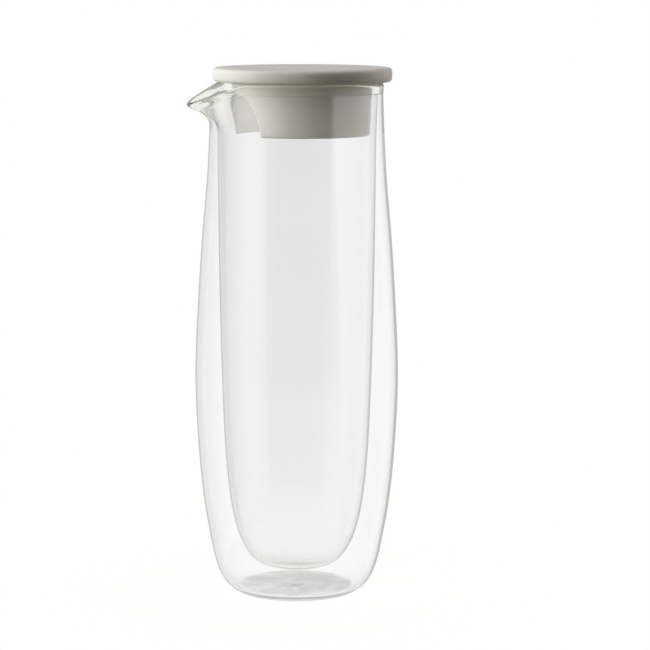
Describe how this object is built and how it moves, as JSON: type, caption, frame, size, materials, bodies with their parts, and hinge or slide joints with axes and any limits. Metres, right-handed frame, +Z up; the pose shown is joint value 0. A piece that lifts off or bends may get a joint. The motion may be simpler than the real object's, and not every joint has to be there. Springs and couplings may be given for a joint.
{
  "type": "carafe",
  "caption": "Tall double-walled clear glass carafe with a pulled pouring lip and a loose pale porcelain lid whose hollow skirt has a notch that lets the drink past.",
  "frame": {"origin": "centre of the flat base, on the axis of the glass and on the surface it stands on", "axes": "+Z up along the axis of the glass, -X towards the tip of the pouring lip, Y across the object's mirror plane"},
  "size_m": [0.1145, 0.1094, 0.284],
  "materials": {
    "clear_glass": "clear, fire-polished",
    "pip_glass": "clear, slightly milky",
    "glazed_porcelain": "satin glaze, opaque"
  },
  "bodies": {
    "vessel": {"outer_wall": "clear_glass", "inner_vessel": "clear_glass", "vent_seal": "pip_glass"},
    "lid": {"lid": "glazed_porcelain"}
  },
  "joints": [
    {"name": "lid_lift", "type": "slide", "parent": "vessel", "child": "lid", "axis": [0, 0, 1], "range_m": [0, 0.08]}
  ]
}
